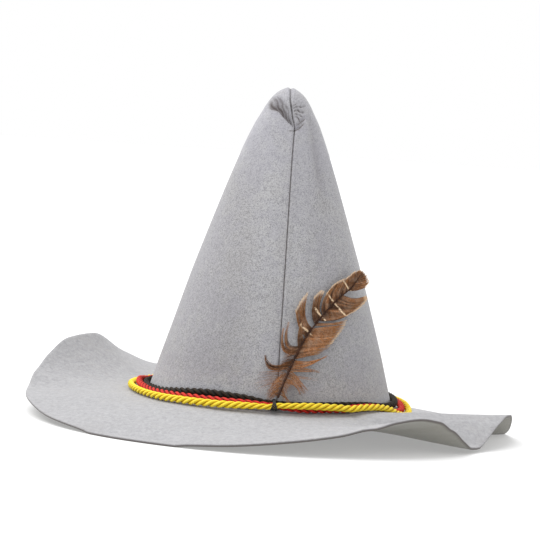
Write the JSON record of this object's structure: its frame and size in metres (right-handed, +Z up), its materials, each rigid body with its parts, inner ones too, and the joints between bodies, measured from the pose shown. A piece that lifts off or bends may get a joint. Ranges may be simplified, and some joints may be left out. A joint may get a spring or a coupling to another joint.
{
  "type": "tyrolean hat",
  "caption": "Tall pointed felt hat with a wide wavy brim, twisted cords tied round the foot of the crown and a feather tucked under them.",
  "frame": {"origin": "on the floor under the middle of the hat's outline", "axes": "+Z up along the crown, +X to the right and +Y to the back as seen from the front, where the feather is"},
  "size_m": [0.3884, 0.3832, 0.2683],
  "materials": {
    "felt": "matt pale grey wool felt",
    "cord_yellow": "satin golden yellow twisted cord",
    "cord_red": "satin red twisted cord",
    "cord_black": "satin black twisted cord",
    "thread": "black sewing thread",
    "feather": "barred brown and cream feather with dark quill"
  },
  "bodies": {
    "root": {"crown": "felt", "brim": "felt", "cord_yellow": "cord_yellow", "cord_red": "cord_red", "cord_black": "cord_black", "thread_tie": "thread", "feather": "feather"}
  },
  "joints": []
}
